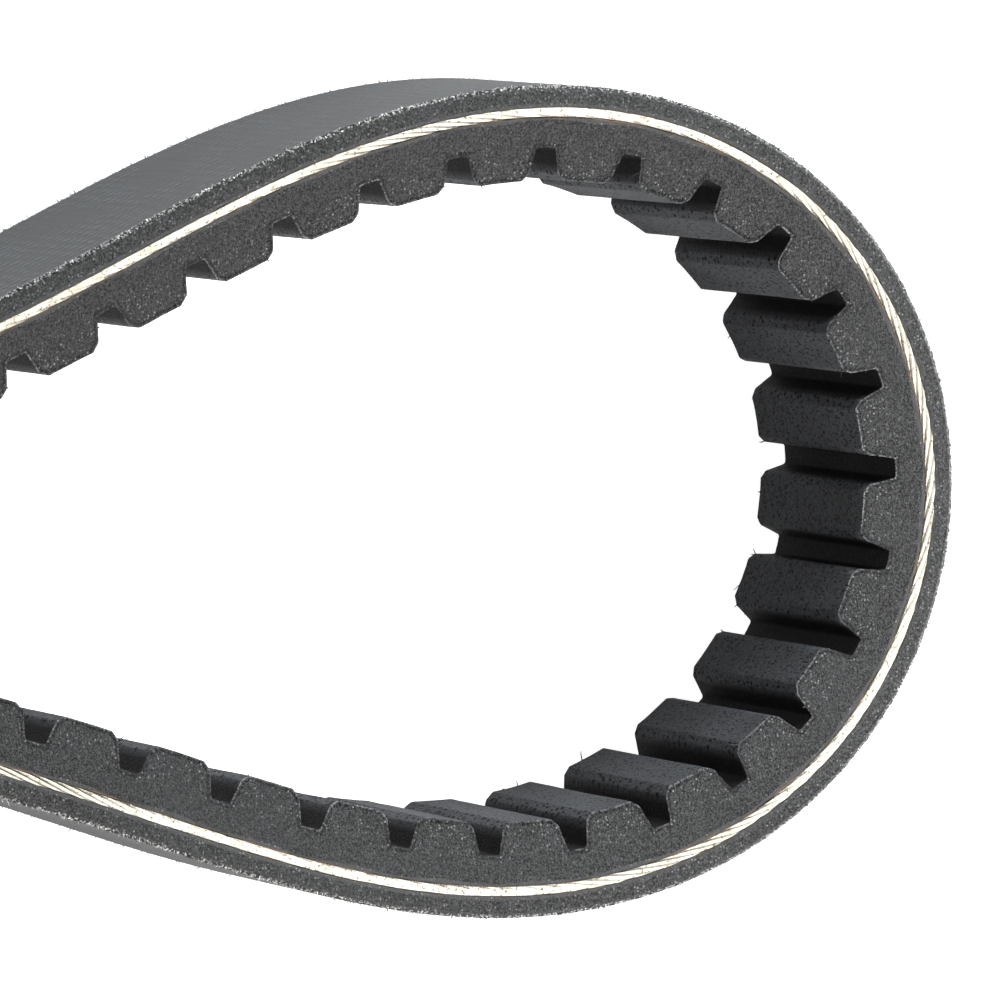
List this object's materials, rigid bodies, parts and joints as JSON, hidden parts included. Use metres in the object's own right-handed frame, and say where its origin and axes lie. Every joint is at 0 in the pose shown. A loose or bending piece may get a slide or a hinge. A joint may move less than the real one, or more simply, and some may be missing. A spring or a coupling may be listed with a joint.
{
  "type": "variable-speed v belt",
  "caption": "Endless raw-edge V-belt with moulded cogs inside, a woven backing and a twisted tensile cord, lying relaxed on one edge.",
  "frame": {"origin": "middle of the loop, on the plane the belt's lower edge rests on", "axes": "+X along the loop's long direction, +Z across the belt's width, +Y across the loop"},
  "size_m": [0.3392, 0.0752, 0.0232],
  "materials": {
    "backing_fabric": "rubbered woven ply, rough, with a pale frayed fringe on its cut edges",
    "overcord_rubber": "cut, fibre-filled, matt",
    "adhesion_gum": "cut gum rubber, matt",
    "tensile_cord": "twisted cream cord",
    "undercord_rubber": "cut, fibre-filled, matt with fine pale specks",
    "cog_facing": "smooth moulded facing with a fine mottle"
  },
  "bodies": {
    "root": {"backing_fabric": "backing_fabric", "overcord_rubber": "overcord_rubber", "upper_adhesion_gum": "adhesion_gum", "tensile_cord_01": "tensile_cord", "tensile_cord_02": "tensile_cord", "tensile_cord_03": "tensile_cord", "tensile_cord_04": "tensile_cord", "tensile_cord_05": "tensile_cord", "tensile_cord_06": "tensile_cord", "tensile_cord_07": "tensile_cord", "tensile_cord_08": "tensile_cord", "tensile_cord_09": "tensile_cord", "tensile_cord_10": "tensile_cord", "tensile_cord_11": "tensile_cord", "tensile_cord_12": "tensile_cord", "tensile_cord_13": "tensile_cord", "tensile_cord_14": "tensile_cord", "tensile_cord_15": "tensile_cord", "tensile_cord_16": "tensile_cord", "lower_adhesion_gum": "adhesion_gum", "undercord_rubber": "undercord_rubber", "cog_facing_fabric": "cog_facing"}
  },
  "joints": []
}
